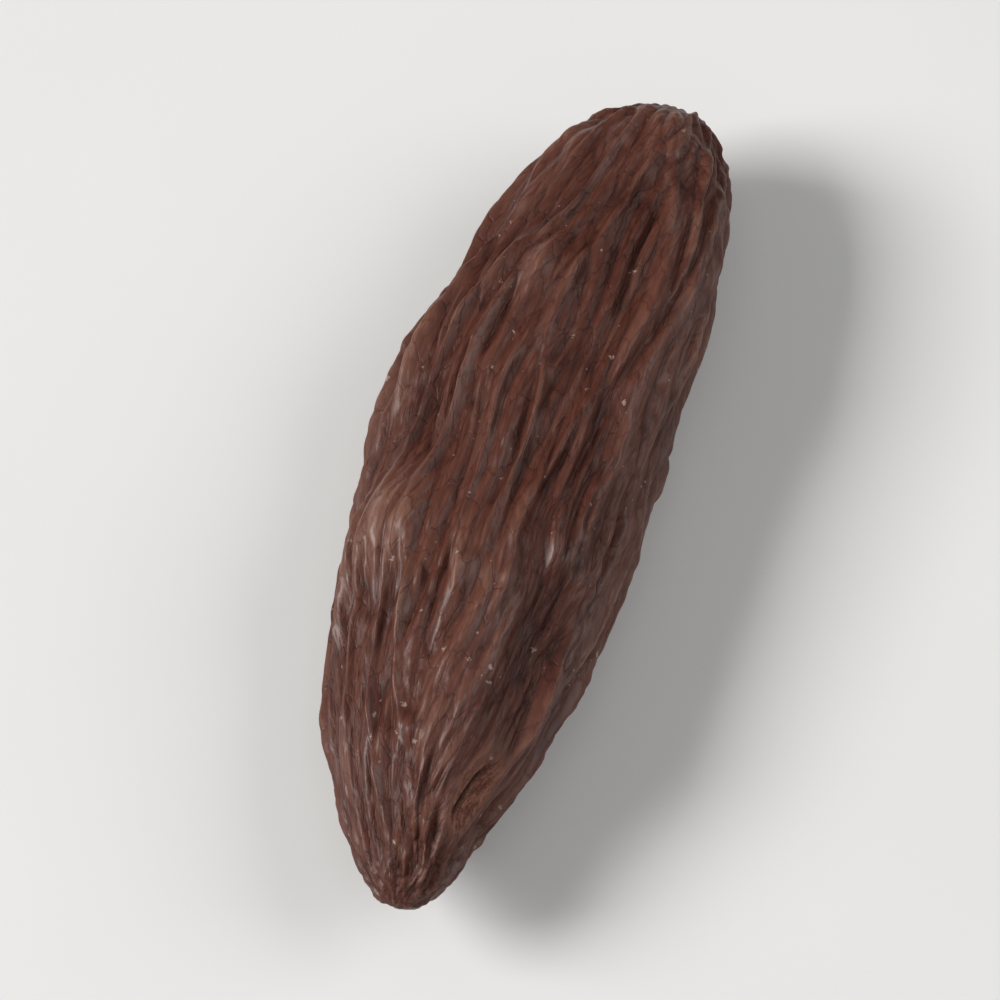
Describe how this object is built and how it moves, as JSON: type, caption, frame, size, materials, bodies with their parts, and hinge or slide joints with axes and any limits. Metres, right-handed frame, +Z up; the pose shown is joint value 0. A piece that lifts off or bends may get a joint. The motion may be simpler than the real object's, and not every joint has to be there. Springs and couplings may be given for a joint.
{
  "type": "tonka bean",
  "caption": "Long dried seed, a little flattened, with a notched snout, a round end and a net of lengthwise wrinkles, lying on its broad side.",
  "frame": {"origin": "on the resting plane, under the middle of the seed's box", "axes": "+X along the seed towards its round end, +Y towards the keeled back, +Z up through the thickness"},
  "size_m": [0.034, 0.0112, 0.0081],
  "materials": {
    "seed_coat": "satin"
  },
  "bodies": {
    "root": {"tonka_bean": "seed_coat"}
  },
  "joints": []
}
